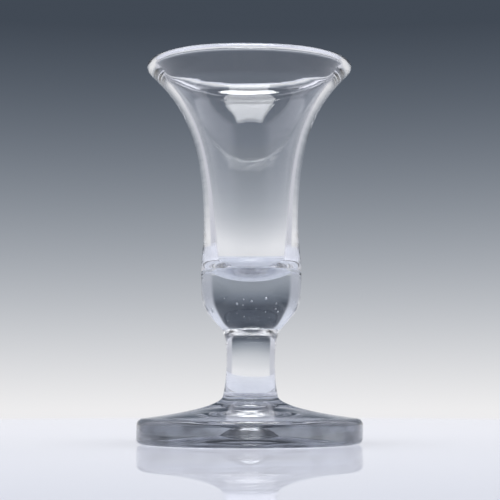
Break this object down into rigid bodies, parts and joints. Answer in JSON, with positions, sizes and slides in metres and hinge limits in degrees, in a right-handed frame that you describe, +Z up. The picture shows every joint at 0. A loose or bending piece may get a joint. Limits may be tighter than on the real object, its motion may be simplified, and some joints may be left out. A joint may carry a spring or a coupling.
{
  "type": "firing glass",
  "caption": "Short drinking glass with a flared bell bowl on a solid base, a plain thick stem and a heavy round foot.",
  "frame": {"origin": "middle of the plane that the foot stands on", "axes": "+Z up along the axis of the stem, from the foot to the lip; the glass is round, so X and Y are free"},
  "size_m": [0.06, 0.06, 0.1022],
  "materials": {
    "foot_glass": "clear, fire-polished, faint grey tint",
    "stem_glass": "clear, fire-polished",
    "base_glass": "clear, fire-polished, with a few seeds",
    "bowl_glass": "clear, fire-polished, with faint rings from shaping"
  },
  "bodies": {
    "root": {"foot": "foot_glass", "stem": "stem_glass", "bowl_base": "base_glass", "bowl": "bowl_glass"}
  },
  "joints": []
}
